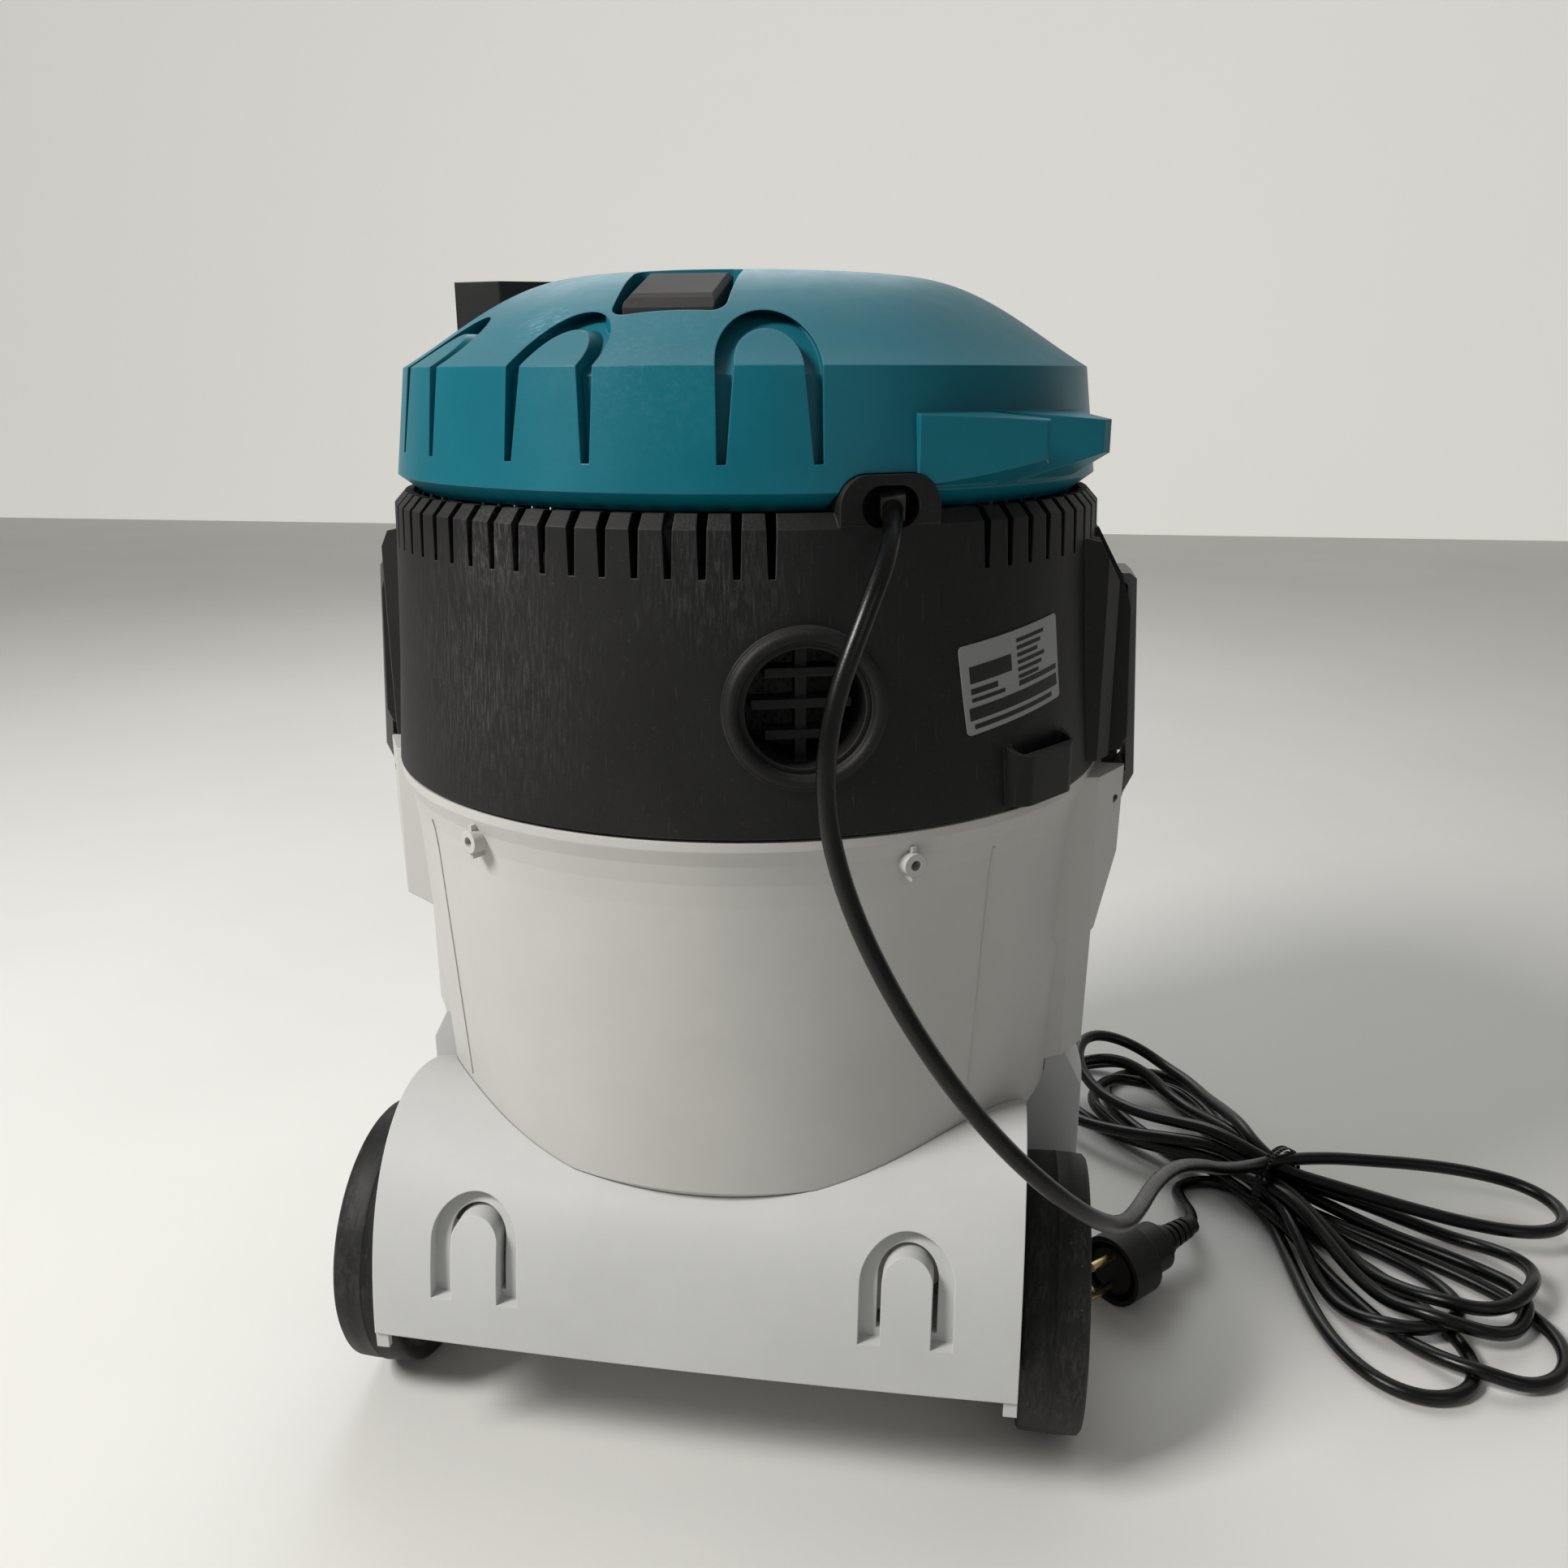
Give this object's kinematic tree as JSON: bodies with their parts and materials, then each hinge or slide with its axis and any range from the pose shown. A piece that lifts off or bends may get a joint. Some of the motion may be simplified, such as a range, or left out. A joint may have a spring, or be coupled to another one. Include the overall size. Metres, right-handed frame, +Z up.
{
  "type": "shop vacuum",
  "caption": "Wheeled wet-and-dry shop vacuum with lift-off motor head, side latches, cable hook, tied mains cord and rear accessory holders.",
  "frame": {"origin": "on the floor under the container's own vertical axis", "axes": "+X along the rear axles towards the machine's left side with the socket block, +Y towards the back with the cord outlet, +Z up"},
  "size_m": [0.66, 0.4585, 0.5343],
  "materials": {
    "container_grey": "fine moulded texture, warm light grey",
    "chassis_grey": "fine moulded texture, cool light grey",
    "housing_black": "fine matte texture",
    "cover_teal": "fine textured teal",
    "button_grey": "satin dark grey",
    "clamp_grey": "satin grey",
    "hub_grey": "satin",
    "latch_grey": "satin mid grey",
    "label_silver": "satin foil",
    "socket_grey": "satin",
    "board_green": "lacquered",
    "steel": "brushed",
    "aluminium": "pressed",
    "laminations": "stacked sheet and lacquered copper",
    "foam": "open foam",
    "filter_paper": "pleated cellulose",
    "black_rubber": "matte",
    "tyre_black": "dusty matte",
    "cord_black": "satin sheath",
    "plug_black": "satin",
    "brass": "plated"
  },
  "bodies": {
    "machine_base": {"container": "container_grey", "rim_seal": "black_rubber", "inlet_spigot": "housing_black", "inlet_deflector": "housing_black", "chassis": "chassis_grey", "chassis_screws": "steel", "wheel_axles": "steel", "latch_pins": "steel"},
    "head": {"motor_housing": "housing_black", "exhaust_grille": "housing_black", "rating_plate": "label_silver", "top_cover": "cover_teal", "carry_handle": "housing_black", "socket_housing": "housing_black", "socket_insert": "socket_grey", "lid_pin": "steel", "switch_body": "clamp_grey", "control_board": "board_green", "fan_casing": "steel", "motor_frame": "steel", "motor_stator": "laminations", "motor_hood": "housing_black", "silencer_foam": "foam", "cable_clamp": "clamp_grey", "cable_gland": "black_rubber", "cover_screws": "steel", "hood_screws": "steel", "filter_cage": "clamp_grey", "filter_cartridge": "filter_paper", "filter_retainer": "housing_black", "clean_spring": "steel", "cord_tube": "cord_black", "cord_hank": "cord_black", "cord_tail": "cord_black", "cord_tie": "cord_black", "plug_body": "plug_black", "plug_pins": "brass"},
    "rotor": {"armature": "laminations", "impeller": "aluminium", "cooling_fan": "button_grey"},
    "latch_left": {"latch_lever_left": "latch_grey"},
    "latch_right": {"latch_lever_right": "latch_grey"},
    "wheel_left": {"tyre_left": "tyre_black", "hub_left": "hub_grey", "wheel_cap_left": "hub_grey"},
    "wheel_right": {"tyre_right": "tyre_black", "hub_right": "hub_grey", "wheel_cap_right": "hub_grey"},
    "caster_left": {"caster_fork_left": "button_grey", "caster_axle_left": "steel"},
    "caster_right": {"caster_fork_right": "button_grey", "caster_axle_right": "steel"},
    "caster_roller_left": {"caster_wheel_left": "tyre_black"},
    "caster_roller_right": {"caster_wheel_right": "tyre_black"},
    "clean_push": {"clean_button": "button_grey", "clean_plunger": "clamp_grey"},
    "lid": {"socket_lid": "housing_black"},
    "switch": {"switch_knob": "button_grey"},
    "float": {"float_ball": "clamp_grey"}
  },
  "joints": [
    {"name": "head_lift", "type": "slide", "parent": "machine_base", "child": "head", "axis": [0, 0, 1], "range_m": [0, 0.16]},
    {"name": "motor_spin", "type": "hinge", "parent": "head", "child": "rotor", "pos_m": [0, 0, 0.4], "axis": [0, 0, 1], "continuous": true},
    {"name": "latch_left_swing", "type": "hinge", "parent": "machine_base", "child": "latch_left", "pos_m": [0.1825, 0, 0.296], "axis": [0, 1, 0], "range_deg": [0, 90]},
    {"name": "latch_right_swing", "type": "hinge", "parent": "machine_base", "child": "latch_right", "pos_m": [-0.1825, 0, 0.296], "axis": [0, -1, 0], "range_deg": [0, 90]},
    {"name": "wheel_left_roll", "type": "hinge", "parent": "machine_base", "child": "wheel_left", "pos_m": [0.163, 0.092, 0.065], "axis": [1, 0, 0], "continuous": true},
    {"name": "wheel_right_roll", "type": "hinge", "parent": "machine_base", "child": "wheel_right", "pos_m": [-0.163, 0.092, 0.065], "axis": [1, 0, 0], "continuous": true},
    {"name": "caster_left_swivel", "type": "hinge", "parent": "machine_base", "child": "caster_left", "pos_m": [0.095, -0.136, 0.066], "axis": [0, 0, 1], "continuous": true},
    {"name": "caster_right_swivel", "type": "hinge", "parent": "machine_base", "child": "caster_right", "pos_m": [-0.095, -0.136, 0.066], "axis": [0, 0, 1], "continuous": true},
    {"name": "caster_left_roll", "type": "hinge", "parent": "caster_left", "child": "caster_roller_left", "pos_m": [0.095, -0.151, 0.0225], "axis": [1, 0, 0], "continuous": true},
    {"name": "caster_right_roll", "type": "hinge", "parent": "caster_right", "child": "caster_roller_right", "pos_m": [-0.095, -0.151, 0.0225], "axis": [1, 0, 0], "continuous": true},
    {"name": "clean_button_push", "type": "slide", "parent": "head", "child": "clean_push", "axis": [0, 0, -1], "range_m": [0, 0.005], "stiffness_N_per_m": 400, "springref_m": -0.001, "deforming": ["clean_spring"]},
    {"name": "socket_lid_open", "type": "hinge", "parent": "head", "child": "lid", "pos_m": [0.102, -0.057, 0.5324], "axis": [1, 0, 0], "range_deg": [0, 95], "stiffness_Nm_per_rad": 0.01, "springref_deg": -11.46},
    {"name": "switch_turn", "type": "hinge", "parent": "head", "child": "switch", "pos_m": [0, -0.17, 0.472], "axis": [0, -1, 0], "range_deg": [-45, 45]},
    {"name": "float_rise", "type": "slide", "parent": "head", "child": "float", "axis": [0, 0, 1], "range_m": [0, 0.045]}
  ]
}
